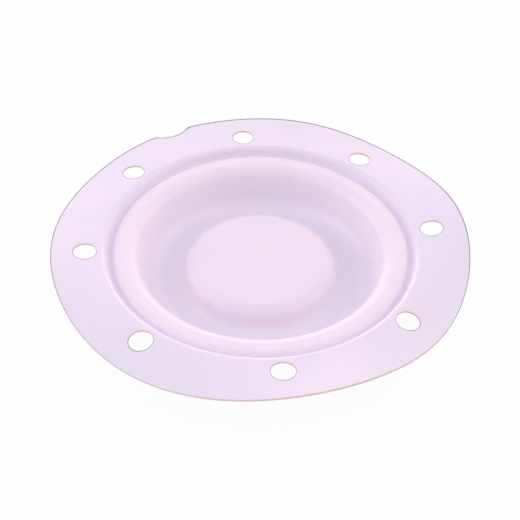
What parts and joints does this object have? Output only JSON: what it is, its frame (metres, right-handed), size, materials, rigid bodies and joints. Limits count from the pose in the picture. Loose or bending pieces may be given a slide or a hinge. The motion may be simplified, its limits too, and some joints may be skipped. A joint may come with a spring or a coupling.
{
  "type": "pump diaphragm",
  "caption": "Dished pump diaphragm moulded from one thin sheet: bolting flange with edge notch, sealing groove, rounded crest, steep bowl wall, ring valley and flat raised centre.",
  "frame": {"origin": "centre of the bolt circle, halfway through the sheet at the flat root of the flange", "axes": "+Z along the axis of the diaphragm, towards the open side of the bowl; +Y through the notch in the edge"},
  "size_m": [0.2, 0.1995, 0.0278],
  "materials": {
    "sheet": "milky lilac elastomer, satin, faintly translucent, tan cut edges"
  },
  "bodies": {
    "root": {"diaphragm": "sheet"}
  },
  "joints": []
}
